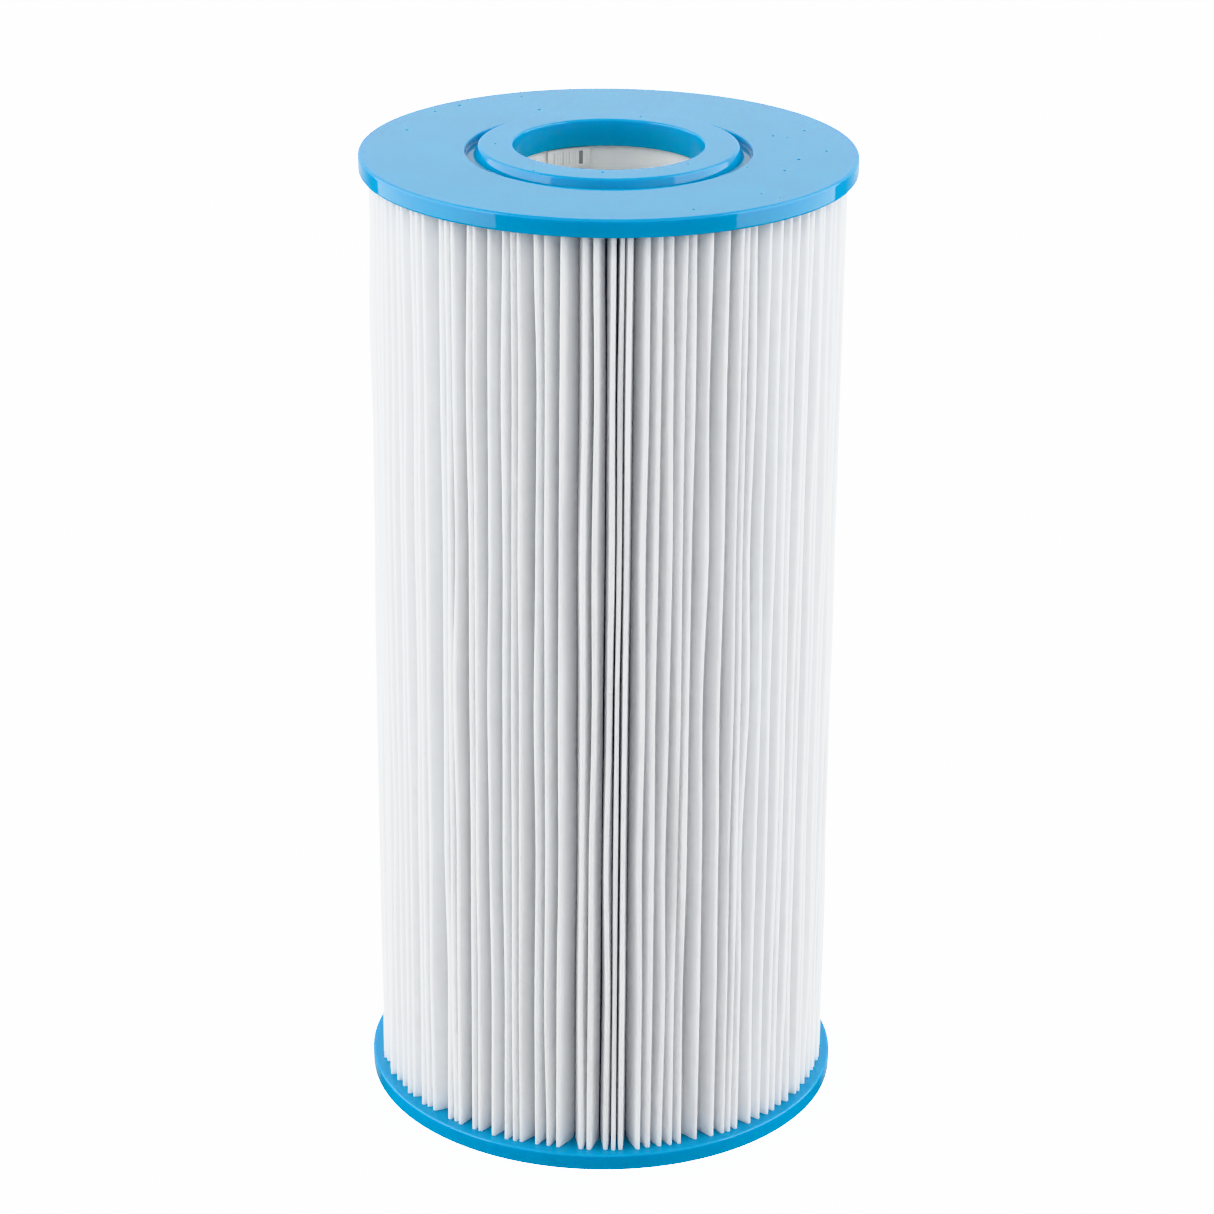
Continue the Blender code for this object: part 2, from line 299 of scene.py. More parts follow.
def smooth_round_flats(obj, degrees=35):
    """Smooth the rounded edges, and keep the flat faces beside them flat."""
    smooth(obj, degrees)
    apply_modifier(obj, "WEIGHTED_NORMAL", keep_sharp=True)


def join(objects, name):
    deselect_all()
    for obj in objects:
        obj.select_set(True)
    bpy.context.view_layer.objects.active = objects[0]
    bpy.ops.object.join()
    joined = bpy.context.active_object
    joined.name = name
    return joined


def discard(obj):
    bpy.data.objects.remove(obj)


def settle(obj, node, material):
    """Give a finished piece its material, and put it in its CAD node's place."""
    obj.data.materials.clear()
    obj.data.materials.append(material)
    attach(obj, "root")
    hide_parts(node)


# Shader node helpers and the groups that several materials share


def add_node(tree, kind, inputs=None, **settings):
    """A node with its settings, and its inputs as values or as sockets to link."""
    node = tree.nodes.new("ShaderNode" + kind)
    for name, value in settings.items():
        setattr(node, name, value)
    for name, value in (inputs or {}).items():
        if isinstance(value, bpy.types.NodeSocket):
            tree.links.new(value, node.inputs[name])
        else:
            node.inputs[name].default_value = value
    return node


def ramp(tree, value, start, end, low=0.0, high=1.0):
    """A value taken from start and end to low and high, and held there beyond them."""
    return add_node(tree, "MapRange", {
        "Value": value, "From Min": start, "From Max": end,
        "To Min": low, "To Max": high}).outputs["Result"]


def use_group(tree, title, inputs):
    """One of the shared groups, placed in a material and made at its first use."""
    group = bpy.data.node_groups.get(title) or GROUP_MAKERS[title]()
    return add_node(tree, "Group", inputs, node_tree=group)


def new_group(name, inputs, outputs):
    """A shader node group with named sockets, and its two end nodes."""
    group = bpy.data.node_groups.new(name, "ShaderNodeTree")
    for title, kind in inputs:
        group.interface.new_socket(title, in_out="INPUT", socket_type="NodeSocket" + kind)
    for title, kind in outputs:
        group.interface.new_socket(title, in_out="OUTPUT", socket_type="NodeSocket" + kind)
    return group, group.nodes.new("NodeGroupInput"), group.nodes.new("NodeGroupOutput")


def cloudy_tone_group():
    """Slow blotches between two colours, as in a casting, a moulding or unwoven fabric."""
    group, start, end = new_group(
        "cloudy tone",
        [("Vector", "Vector"), ("Scale", "Float"), ("Light", "Color"), ("Dark", "Color")],
        [("Color", "Color"), ("Cloud", "Float")])
    noise = add_node(group, "TexNoise", {
        "Vector": start.outputs["Vector"], "Scale": start.outputs["Scale"],
        "Detail": 4.0, "Roughness": 0.55})
    cloud = ramp(group, noise.outputs["Fac"], 0.32, 0.68)
    tone = add_node(group, "Mix", {
        0: cloud, 6: start.outputs["Light"], 7: start.outputs["Dark"]},
        data_type="RGBA")
    group.links.new(tone.outputs[2], end.inputs["Color"])
    group.links.new(cloud, end.inputs["Cloud"])
    return group


def fine_relief_group():
    """Two sizes of grain as a normal: a fine tooth on a slower unevenness."""
    group, start, end = new_group(
        "fine relief",
        [("Vector", "Vector"), ("Tooth Scale", "Float"), ("Tooth Height", "Float"),
         ("Swell Scale", "Float"), ("Swell Height", "Float")],
        [("Normal", "Vector")])
    normal = None
    for size in ("Swell", "Tooth"):
        noise = add_node(group, "TexNoise", {
            "Vector": start.outputs["Vector"], "Scale": start.outputs[size + " Scale"],
            "Detail": 3.0})
        bump = add_node(group, "Bump", {
            "Height": noise.outputs["Fac"], "Distance": start.outputs[size + " Height"]})
        if normal:
            group.links.new(normal, bump.inputs["Normal"])
        normal = bump.outputs["Normal"]
    group.links.new(normal, end.inputs["Normal"])
    return group


def rub_marks_group():
    """Short hairlines from handling, as a mask."""
    group, start, end = new_group(
        "rub marks", [("Vector", "Vector"), ("Scale", "Float"), ("Amount", "Float")],
        [("Mask", "Float")])
    marks = None
    for degrees in (20, -52):
        turned = add_node(group, "Mapping", {
            "Vector": start.outputs["Vector"], "Rotation": (0, 0, math.radians(degrees)),
            "Scale": (1.0, 28.0, 1.0)})
        noise = add_node(group, "TexNoise", {
            "Vector": turned.outputs["Vector"], "Scale": start.outputs["Scale"], "Detail": 1.0})
        mark = ramp(group, noise.outputs["Fac"], 0.66, 0.74)
        if marks:
            both = add_node(group, "Math", {0: marks, 1: mark}, operation="MAXIMUM")
            marks = both.outputs["Value"]
        else:
            marks = mark
    scaled = add_node(group, "Math", {0: marks, 1: start.outputs["Amount"]},
                      operation="MULTIPLY")
    group.links.new(scaled.outputs["Value"], end.inputs["Mask"])
    return group


GROUP_MAKERS = {
    "cloudy tone": cloudy_tone_group,
    "fine relief": fine_relief_group,
    "rub marks": rub_marks_group,
}


def new_material(name, **sockets):
    """A material with a Principled shader, and values set on the shader's own sockets."""
    material = bpy.data.materials.new(name)
    material.use_nodes = True
    tree = material.node_tree
    shader = tree.nodes["Principled BSDF"]
    for title, value in sockets.items():
        shader.inputs[title.replace("_", " ")].default_value = value
    return material, tree, shader


def shade(rgb, factor):
    """A colour made lighter or darker, with full alpha."""
    return (*(min(1.0, channel * factor) for channel in rgb), 1.0)


def cloud_and_relief(tree, shader, tone_scale, light, dark, tooth, swell):
    """Clouds in the base colour and grain in the normal, on object coordinates.

    Tooth and swell are each a scale and a height. It returns the coordinates and the clouds.
    """
    where = add_node(tree, "TexCoord").outputs["Object"]
    tone = use_group(tree, "cloudy tone", {
        "Vector": where, "Scale": tone_scale, "Light": light, "Dark": dark})
    relief = use_group(tree, "fine relief", {
        "Vector": where, "Tooth Scale": tooth[0], "Tooth Height": tooth[1],
        "Swell Scale": swell[0], "Swell Height": swell[1]})
    tree.links.new(tone.outputs["Color"], shader.inputs["Base Color"])
    tree.links.new(relief.outputs["Normal"], shader.inputs["Normal"])
    return where, tone.outputs["Cloud"]


def vary_roughness(tree, shader, mask, low, high):
    """Roughness between two values, by a mask."""
    tree.links.new(ramp(tree, mask, 0.0, 1.0, low, high), shader.inputs["Roughness"])


def cast_urethane(settings):
    """Glossy cast urethane: faint clouds in the blue, a slow swell and a few rub marks."""
    material, tree, shader = new_material(
        "cast_urethane", IOR=1.5, Subsurface_Weight=0.6, Subsurface_Scale=0.008,
        Subsurface_Radius=(0.1, 0.6, 1.0))
    where, _ = cloud_and_relief(
        tree, shader, 45.0, shade(settings.blue, 1.03), shade(settings.blue, 0.96),
        tooth=(2600.0, 0.0000012), swell=(90.0, 0.00001))
    marks = use_group(tree, "rub marks", {"Vector": where, "Scale": 22.0, "Amount": 0.4})
    vary_roughness(tree, shader, marks.outputs["Mask"], 0.05, 0.22)
    return material


def spunbond_fabric(settings):
    """Unwoven polyester: crossing fibres with thicker clouds, thin enough to let light through."""
    material, tree, shader = new_material(
        "pleated_fabric", Roughness=0.85, Sheen_Weight=0.15, Sheen_Roughness=0.5, IOR=1.45)
    where = add_node(tree, "TexCoord").outputs["UV"]
    tone = use_group(tree, "cloudy tone", {
        "Vector": where, "Scale": 160.0,
        "Light": shade(settings.white, 1.005), "Dark": shade(settings.white, 0.985)})
    fibres = None
    for degrees in (12, 64, -38):
        turned = add_node(tree, "Mapping", {
            "Vector": where, "Rotation": (0, 0, math.radians(degrees)),
            "Scale": (240.0, 3400.0, 1.0)})
        noise = add_node(tree, "TexNoise", {
            "Vector": turned.outputs["Vector"], "Scale": 1.0, "Detail": 1.0,
            "Distortion": 0.3})
        if fibres:
            laid = add_node(tree, "Math", {0: fibres, 1: noise.outputs["Fac"]},
                            operation="MAXIMUM")
            fibres = laid.outputs["Value"]
        else:
            fibres = noise.outputs["Fac"]
    dents = add_node(tree, "TexNoise", {"Vector": where, "Scale": 130.0, "Detail": 2.0})
    dented = add_node(tree, "Bump", {
        "Height": dents.outputs["Fac"], "Distance": 0.00018, "Strength": 0.25})
    felted = add_node(tree, "Bump", {
        "Height": fibres, "Distance": 0.00002, "Strength": 0.4,
        "Normal": dented.outputs["Normal"]})
    tree.links.new(tone.outputs["Color"], shader.inputs["Base Color"])
    tree.links.new(felted.outputs["Normal"], shader.inputs["Normal"])
    through = add_node(tree, "BsdfTranslucent", {
        "Color": tone.outputs["Color"], "Normal": felted.outputs["Normal"]})
    thin = add_node(tree, "MixShader", {
        0: settings.light_through, 1: shader.outputs["BSDF"], 2: through.outputs["BSDF"]})
    tree.links.new(thin.outputs["Shader"], tree.nodes["Material Output"].inputs["Surface"])
    return material


def moulded_plastic(settings):
    """Satin off-white plastic with a fine moulded tooth and flow clouds."""
    material, tree, shader = new_material(
        "core_plastic", IOR=1.5, Subsurface_Weight=0.5, Subsurface_Scale=0.006,
        Subsurface_Radius=(1.0, 0.9, 0.8))
    _, clouds = cloud_and_relief(
        tree, shader, 60.0, shade(settings.white, 1.03), shade(settings.white, 0.96),
        tooth=(2200.0, 0.000006), swell=(120.0, 0.00002))
    vary_roughness(tree, shader, clouds, 0.38, 0.5)
    return material


def printed_paper(settings):
    """White paper with a plain row of meaningless bars, of different widths and depths."""
    material, tree, shader = new_material("label_paper", Roughness=0.6)
    coordinates = add_node(tree, "TexCoord")
    where = coordinates.outputs["UV"]
    split = add_node(tree, "SeparateXYZ", {"Vector": where})
    paper = use_group(tree, "cloudy tone", {
        "Vector": where, "Scale": 9.0,
        "Light": shade(settings.paper, 1.02), "Dark": shade(settings.paper, 0.97)})
    bars = add_node(tree, "ValToRGB", {"Fac": split.outputs["X"]})
    ramp = bars.color_ramp
    ramp.interpolation = "CONSTANT"
    # Where each bar starts along the label and how dark it is; a bare gap follows each bar.
    bar_starts = ((0.15, 0.35, 0.035), (0.25, 0.15, 0.02), (0.31, 0.15, 0.02),
                  (0.37, 0.35, 0.04), (0.46, 0.2, 0.02), (0.52, 0.3, 0.03),
                  (0.61, 0.2, 0.02), (0.67, 0.2, 0.02), (0.76, 1.0, 0.085))
    for start, ink, width in bar_starts:
        ramp.elements.new(start).color = (ink, ink, ink, 1)
        ramp.elements.new(start + width).color = (0, 0, 0, 1)
    ramp.elements[0].color = (0, 0, 0, 1)
    ramp.elements[-1].color = (0, 0, 0, 1)
    high = add_node(tree, "Math", {0: split.outputs["Y"], 1: 0.5}, operation="SUBTRACT")
    off_middle = add_node(tree, "Math", {0: high.outputs["Value"]}, operation="ABSOLUTE")
    inside = add_node(tree, "Math", {0: off_middle.outputs["Value"], 1: 0.33},
                      operation="LESS_THAN")
    ink = add_node(tree, "Math", {0: bars.outputs["Color"], 1: inside.outputs["Value"]},
                   operation="MULTIPLY")
    printed = add_node(tree, "Mix", {
        0: ink.outputs["Value"], 6: paper.outputs["Color"], 7: shade(settings.bar_grey, 1.0)},
        data_type="RGBA")
    tree.links.new(printed.outputs[2], shader.inputs["Base Color"])
    relief = use_group(tree, "fine relief", {
        "Vector": coordinates.outputs["Object"],
        "Tooth Scale": 3000.0, "Tooth Height": 0.000008,
        "Swell Scale": 300.0, "Swell Height": 0.00002})
    tree.links.new(relief.outputs["Normal"], shader.inputs["Normal"])
    return material


def hot_melt_glue(settings):
    """Cream glue with a smooth, lumpy skin."""
    material, tree, shader = new_material("seam_glue", IOR=1.48)
    _, clouds = cloud_and_relief(
        tree, shader, 150.0, shade(settings.glue, 1.05), shade(settings.glue, 0.9),
        tooth=(1500.0, 0.00001), swell=(220.0, 0.00008))
    vary_roughness(tree, shader, clouds, 0.3, 0.45)
    return material


def pale_floor_paint(settings):
    """Matt white floor with a hardly visible unevenness, and a little light of its own."""
    material, tree, shader = new_material(
        "pale_floor", Roughness=0.9, Specular_IOR_Level=0.1,
        Emission_Color=(1, 1, 1, 1), Emission_Strength=settings.floor_glow)
    tone = use_group(tree, "cloudy tone", {
        "Vector": add_node(tree, "TexCoord").outputs["Object"], "Scale": 3.0,
        "Light": shade(settings.floor, 1.0), "Dark": shade(settings.floor, 0.99)})
    tree.links.new(tone.outputs["Color"], shader.inputs["Base Color"])
    return material


# End caps


def cast_cap(settings):
    """The upper cap, worked out of a disc by insets and extrusions."""
    top = cad_high.z
    flange_top = top - settings.collar_rise
    flange_low = flange_top - settings.flange
    collar_radius = settings.bore_radius + settings.collar_wall
    root_radius = collar_radius + settings.collar_draft
    moat_radius = root_radius + settings.moat_width
    moat_floor = flange_top - settings.moat_depth
    lip_radius = settings.bore_radius + settings.lip_wall
    lip_low = flange_low - settings.lip_drop

    deselect_all()
    bpy.ops.mesh.primitive_cylinder_add(
        vertices=settings.sides, radius=settings.radius, depth=settings.flange,
        location=(0, 0, (flange_low + flange_top) / 2), end_fill_type="NGON")
    cap = bpy.context.active_object
    apply_place(cap)
    with editing(cap):
        pick(cap, "faces", lambda face: face.normal.z > 0.9)
        bpy.ops.mesh.inset(thickness=settings.radius - moat_radius)
        extrude_by(-settings.moat_depth)
        bpy.ops.mesh.inset(thickness=settings.moat_width)
        extrude_by(settings.moat_depth + settings.collar_rise)
        drafted = collar_radius / root_radius
        bpy.ops.transform.resize(value=(drafted, drafted, 1), center_override=(0, 0, top))
        bpy.ops.mesh.inset(thickness=settings.collar_wall)
        bpy.ops.mesh.delete(type="FACE")
        pick(cap, "faces", lambda face: face.normal.z < -0.9 and len(face.verts) > 4)
        bpy.ops.mesh.inset(thickness=settings.radius - lip_radius)
        extrude_by(-settings.lip_drop)
        bpy.ops.mesh.inset(thickness=settings.lip_wall)
        bpy.ops.mesh.delete(type="FACE")
        pick(cap, "edges", lambda edge: edge.is_boundary)
        bpy.ops.mesh.bridge_edge_loops()
        # Each rounded ring: its radius, its height, how round it is and in how many steps.
        rounded = (
            (settings.radius, flange_top, settings.brim_round, 5),
            (settings.radius, flange_low, settings.ledge_round, 5),
            (moat_radius, flange_top, settings.edge_round, 3),
            (collar_radius, top, settings.ledge_round, 5),
            (settings.bore_radius, top, settings.ledge_round, 5),
            (root_radius, moat_floor, settings.moat_fillet, 4),
            (moat_radius, moat_floor, settings.edge_round, 3),
            (settings.bore_radius, lip_low, settings.edge_round, 3),
        )
        for radius, z, width, steps in rounded:
            pick(cap, "edges", lambda edge: is_ring_edge(edge, radius, z))
            bpy.ops.mesh.bevel(offset=width, segments=steps, affect="EDGES")
        bpy.ops.mesh.select_all(action="SELECT")
        bpy.ops.mesh.normals_make_consistent(inside=False)
    return cap


def pit_cap(cap, settings, seed):
    """Open a few air bubbles in a cap's upper face."""
    draw = np.random.default_rng(seed)
    collar_radius = settings.bore_radius + settings.collar_wall
    moat_radius = collar_radius + settings.collar_draft + settings.moat_width
    flange_top = cad_high.z - settings.collar_rise
    lands = (
        (moat_radius + PIT_MARGIN, settings.radius - PIT_MARGIN, flange_top),
        (settings.bore_radius + PIT_MARGIN, collar_radius - PIT_MARGIN, cad_high.z),
    )
    bubbles = []
    for made in range(settings.pits):
        inner, outer, z = lands[made % 4 == 3]  # every fourth is in the collar
        place = draw.uniform(inner, outer)
        angle = draw.uniform(0, FULL_TURN)
        size = draw.uniform(*PIT_SIZES)
        deselect_all()
        bpy.ops.mesh.primitive_ico_sphere_add(
            subdivisions=2, radius=size,
            location=(place * math.cos(angle), place * math.sin(angle), z - 0.25 * size))
        bubbles.append(bpy.context.active_object)
    cutter = join(bubbles, "bubbles")
    apply_modifier(cap, "BOOLEAN", operation="DIFFERENCE", solver="EXACT", object=cutter)
    discard(cutter)


class CARTRIDGE_OT_end_caps(bpy.types.Operator):
    """Cast the two end caps, each with its collar, moat and lip"""

    bl_idname = "cartridge.end_caps"
    bl_label = "End caps"

    def execute(self, context):
        settings = context.scene.cartridge_caps
        material = cast_urethane(settings)
        upper = cast_cap(settings)
        upper.name = "cast_cap_upper"
        lower = copy_of(upper, "cast_cap_lower")
        for cap, seed in ((upper, 5), (lower, 23)):
            pit_cap(cap, settings, seed)
        lower.rotation_euler.x = math.pi
        lower.location.z = cad_high.z
        apply_place(lower)
        for cap, node in ((upper, "top_end_cap"), (lower, "bottom_end_cap")):
            smooth_round_flats(cap)
            settle(cap, node, material)
        return {"FINISHED"}


# Pleated media


def spread_folds(settings, draw, levels):
    """Sideways place of each outer fold at each level, in metres round the outer folds.

    A fold stands a little off its even place, and strays on its way up. Folds that come nearer
    than the least pitch push each other apart.
    """
    pitch = FULL_TURN * settings.outer_radius / settings.pleats
    even = pitch * np.arange(settings.pleats)
    lean = draw.normal(0, settings.scatter, settings.pleats)
    places = even + lean + draw.normal(0, settings.wander, (levels, settings.pleats))
    places[:, 0] = 0.0  # the seam pleat stands straight
    whole = FULL_TURN * settings.outer_radius
    for _ in range(FOLD_PUSHES):
        after = np.roll(places, -1, axis=1)
        after[:, -1] += whole
        short = np.maximum(settings.least_pitch - (after - places), 0) / 2
        places -= short
        places += np.roll(short, 1, axis=1)
        places[:, 0] = 0.0
    return places


def pleat_sways(settings, draw, levels):
    """How far each valley curves sideways, much as its neighbours do."""
    turns = FULL_TURN * np.arange(settings.pleats) / settings.pleats
    sways = np.zeros((levels, settings.pleats))
    for waves in SWAY_WAVES:
        phase = draw.uniform(0, FULL_TURN) + draw.normal(0, 0.25, (levels, 1)).cumsum(axis=0)
        sways += np.sin(waves * turns + phase) * settings.sway / 2
    sways[:, 0] = 0.0
    return sways


def between_levels(values, rings):
    """Values at a few levels, eased to every ring of points."""
    levels = len(values)
    at = np.linspace(0, levels - 1, rings)
    low = np.minimum(at.astype(int), levels - 2)
    share = at - low
    ease = (share * share * (3 - 2 * share))[:, None]
    return values[low] * (1 - ease) + values[low + 1] * ease


def folded_strip(settings):
    """Mid-thickness points of the strip, ring by ring, as rings x points x 2, from end to end."""
    draw = np.random.default_rng(settings.seed)
    levels = FOLD_LEVELS
    rings, pleats = settings.rings, settings.pleats
    places = between_levels(spread_folds(settings, draw, levels), rings)
    places += draw.normal(0, settings.ripple, (rings, pleats))
    depths = between_levels(draw.normal(0, settings.unevenness, (levels, pleats)), rings)
    depths += draw.normal(0, settings.ripple / 2, (rings, pleats))
    plumpness = between_levels(draw.normal(1, 0.12, (levels, pleats)), rings)
    clearance = LEAST_VALLEY + between_levels(
        draw.uniform(0, VALLEY_SPREAD, (levels, pleats)), rings)
    sways = between_levels(pleat_sways(settings, draw, levels), rings)
    places[:, 0] = 0.0
    depths[:, 0] = 0.0

    half_sheet = settings.fabric / 2
    seam = math.pi / 2
    valley_at = seam + FULL_TURN / pleats * (np.arange(pleats) + 0.5)
    valley_radius = settings.inner_radius + half_sheet + settings.inner_fold
    crest_arc = np.radians((-90, -45, 0, 45, 90))
    valley_arc = np.radians((-90, 0, 90))

    def across(angle):
        return np.stack([np.cos(angle), np.sin(angle)], -1)

    def along(angle):
        return np.stack([-np.sin(angle), np.cos(angle)], -1)

    whole = FULL_TURN * settings.outer_radius
    crest_at = seam + np.column_stack([places, places[:, 0] + whole]) / settings.outer_radius
    shoulder_radius = (settings.outer_radius * (1 - settings.shoulder)
                       + valley_radius * settings.shoulder)

    def shoulder(pleat, sign):
        """Points of a wall where it comes nearest to the wall across the valley."""
        between = (crest_at[:, pleat] + crest_at[:, pleat + 1]) / 2
        angle = between * (1 - settings.shoulder) + valley_at[pleat] * settings.shoulder
        aside = sways[:, pleat] + sign * (clearance[:, pleat] + half_sheet)
        return shoulder_radius * across(angle + aside / shoulder_radius)

    def crest(pleat):
        """Points of an outer fold, as columns."""
        angle = seam + places[:, pleat] / settings.outer_radius
        fold = settings.outer_fold * np.clip(plumpness[:, pleat], *FOLD_PLUMPNESS)
        centre = settings.outer_radius + depths[:, pleat] - half_sheet - fold
        out, side = across(angle), along(angle)
        return [centre[:, None] * out
                + fold[:, None] * (math.cos(arc) * out + math.sin(arc) * side)
                for arc in crest_arc]

    def valley(pleat):
        """Points of an inner fold, as columns."""
        angle = np.full(rings, valley_at[pleat])
        out, side = across(angle), along(angle)
        return [valley_radius * out
                + settings.inner_fold * (-math.cos(arc) * out + math.sin(arc) * side)
                for arc in valley_arc]

    seam_out = (settings.outer_radius - half_sheet) * across(np.full(rings, seam))
    seam_side = (settings.outer_fold + half_sheet / 4) * along(np.full(rings, seam))
    columns = [seam_out + seam_side]
    for pleat in range(pleats):
        if pleat:
            columns += crest(pleat)
        columns += [shoulder(pleat, -1), *valley(pleat), shoulder(pleat, 1)]
    columns.append(seam_out - seam_side)
    return np.stack(columns, axis=1)


def fold_media(settings):
    """The strip as a mesh with its own thickness, and its flat size."""
    points = folded_strip(settings)
    rings, columns = points.shape[:2]
    setback = end_setback(settings)
    low, high = media_low.z + setback, media_high.z - setback
    heights = np.linspace(low, high, rings)
    placed = np.concatenate(
        [points, np.broadcast_to(heights[:, None, None], (rings, columns, 1))], axis=2)
    steps = np.linalg.norm(np.diff(points, axis=1), axis=2).mean(axis=0)
    run = np.concatenate([[0.0], np.cumsum(steps)])
    faces = [
        (ring * columns + column, ring * columns + column + 1,
         (ring + 1) * columns + column + 1, (ring + 1) * columns + column)
        for ring in range(rings - 1) for column in range(columns - 1)
    ]
    mesh = bpy.data.meshes.new("folded_media")
    mesh.from_pydata(placed.reshape(-1, 3).tolist(), [], faces)
    uv = mesh.uv_layers.new(name="fabric")
    corners = np.array(faces)
    flat = np.stack([run[corners % columns], heights[corners // columns]], -1)
    uv.data.foreach_set("uv", flat.reshape(-1).astype(np.float32))
    media = bpy.data.objects.new("folded_media", mesh)
    bpy.context.scene.collection.objects.link(media)
    apply_modifier(media, "SOLIDIFY", thickness=settings.fabric, offset=0,
                   use_even_offset=True, use_quality_normals=True)
    return media, (float(run[-1]), float(high - low))


def end_setback(settings):
    """How much shorter the shown strip is than the CAD strip, at each end."""
    caps = bpy.context.scene.cartridge_caps
    flange_low = cad_high.z - caps.collar_rise - caps.flange
    return media_high.z - flange_low - settings.bite


class CARTRIDGE_OT_pleated_media(bpy.types.Operator):
    """Fold the strip of filter fabric into its pleats"""

    bl_idname = "cartridge.pleated_media"
    bl_label = "Pleated media"

    def execute(self, context):
        settings = context.scene.cartridge_media
        media, flat = fold_media(settings)
        smooth(media, 50)
        settle(media, "pleated_media", spunbond_fabric(settings))
        return {"FINISHED"}


class CARTRIDGE_OT_seam_bead(bpy.types.Operator):
    """Run the bead of glue between the strip's two ends"""

    bl_idname = "cartridge.seam_bead"
    bl_label = "Seam bead"

    def execute(self, context):
        media = context.scene.cartridge_media
        low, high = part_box("media_seam_bead")
        depth = end_setback(media)
        width = 2 * (media.outer_fold - media.fabric / 2)
        length_up = high.z - low.z - 2 * depth
        deselect_all()
        bpy.ops.mesh.primitive_cube_add(size=1, location=(low + high) / 2)
        bead = bpy.context.active_object
        bead.name = "glue_bead"
        bead.scale = (width, high.y - low.y, length_up)
        apply_place(bead)
        with editing(bead, "EDGE"):
            bpy.ops.mesh.select_all(action="SELECT")
            for cut in range(1, BEAD_STEPS):
                bpy.ops.mesh.bisect(
                    plane_co=(0, 0, low.z + depth + length_up * cut / BEAD_STEPS),
                    plane_no=(0, 0, 1))
                bpy.ops.mesh.select_all(action="SELECT")
            pick(bead, "edges", lambda edge: (
                min(vert.co.y for vert in edge.verts) > high.y - EPSILON
                and abs(edge.verts[0].co.x - edge.verts[1].co.x) < EPSILON
                and abs(edge.verts[0].co.z - edge.verts[1].co.z) > EPSILON))
            bpy.ops.mesh.bevel(offset=width * 0.42, segments=3, affect="EDGES")
        draw = np.random.default_rng(3)
        swell = draw.normal(0, 1, BEAD_STEPS + 1)
        for vert in bead.data.vertices:
            step = round((vert.co.z - low.z - depth) / length_up * BEAD_STEPS)
            if vert.co.y > (low.y + high.y) / 2:
                vert.co.y += BEAD_SWELL * (float(np.clip(swell[step], -1.5, 1.0)) - 1)
        smooth(bead, 50)
        settle(bead, "media_seam_bead",
               hot_melt_glue(context.scene.cartridge_label))
        return {"FINISHED"}


# Core


def core_tube(settings, low, height, has_socket, has_spigot):
    """One section without its windows: a profile of its wall, spun round the axis."""
    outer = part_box(CORE_NODES[0])[1].x
    inner = outer - settings.wall
    split = (outer + inner) / 2
    half_gap = settings.gap / 2
    deselect_all()
    bpy.ops.mesh.primitive_plane_add(
        size=1, location=(split, 0, low + height / 2), rotation=(math.pi / 2, 0, 0))
    tube = bpy.context.active_object
    tube.scale = (settings.wall, height, 1)
    apply_place(tube)
    with editing(tube):
        lower = low + settings.spigot
        if has_socket:
            bpy.ops.mesh.select_all(action="SELECT")
            bpy.ops.mesh.bisect(plane_co=(0, 0, lower), plane_no=(0, 0, 1))
            pick(tube, "faces", lambda face: middle(face).z < lower)
            bpy.ops.mesh.bisect(plane_co=(split + half_gap, 0, 0), plane_no=(1, 0, 0))
            pick(tube, "faces", lambda face: (
                middle(face).z < lower and middle(face).x < split + half_gap))
            bpy.ops.mesh.delete(type="FACE")
        if has_spigot:
            top = low + height
            upper = top - settings.spigot
            pick(tube, "faces", lambda face: middle(face).z > lower)
            bpy.ops.mesh.bisect(plane_co=(0, 0, upper), plane_no=(0, 0, 1))
            pick(tube, "faces", lambda face: middle(face).z > upper)
            bpy.ops.mesh.bisect(plane_co=(split - half_gap, 0, 0), plane_no=(1, 0, 0))
            pick(tube, "edges", lambda edge: (
                min(vert.co.z for vert in edge.verts) > top - EPSILON
                and middle(edge).x < split - half_gap))
            extrude_by(settings.spigot - settings.gap)
        bpy.ops.mesh.select_mode(type="FACE")
        bpy.ops.mesh.select_all(action="SELECT")
        bpy.ops.mesh.dissolve_faces(use_verts=False)
        bpy.ops.mesh.select_all(action="SELECT")
        bpy.ops.mesh.delete(type="ONLY_FACE")
        bpy.ops.mesh.select_mode(type="EDGE")
        bpy.ops.mesh.select_all(action="SELECT")
        bpy.ops.mesh.spin(steps=settings.sides, angle=FULL_TURN, center=(0, 0, 0),
                          axis=(0, 0, 1))
        bpy.ops.mesh.select_all(action="SELECT")
        bpy.ops.mesh.remove_doubles(threshold=EPSILON)
        bpy.ops.mesh.normals_make_consistent(inside=False)
    return tube, inner, outer


def window_cutter(settings, low, height, inner, outer):
    """Blocks with rounded edges that stand across the wall where the windows go."""
    tall = (height - 2 * settings.end_band - (settings.rows - 1) * settings.ring) / settings.rows
    wide = FULL_TURN * outer / settings.columns - settings.rib
    across = 3 * settings.wall
    middle_radius = (inner + outer) / 2
    blocks = []
    for row in range(settings.rows):
        z = low + settings.end_band + tall / 2 + row * (tall + settings.ring)
        for column in range(settings.columns):
            angle = FULL_TURN * (column + 0.5) / settings.columns
            deselect_all()
            bpy.ops.mesh.primitive_cube_add(size=1)
            block = bpy.context.active_object
            block.scale = (across, wide, tall)
            apply_place(block)
            with editing(block, "EDGE"):
                pick(block, "edges", lambda edge: (
                    abs(edge.verts[0].co.x - edge.verts[1].co.x) > EPSILON))
                bpy.ops.mesh.bevel(offset=settings.corner, segments=4, affect="EDGES")
            block.rotation_euler.z = angle
            block.location = (*(middle_radius * Vector((math.cos(angle), math.sin(angle)))), z)
            apply_place(block)
            blocks.append(block)
    return join(blocks, "windows")


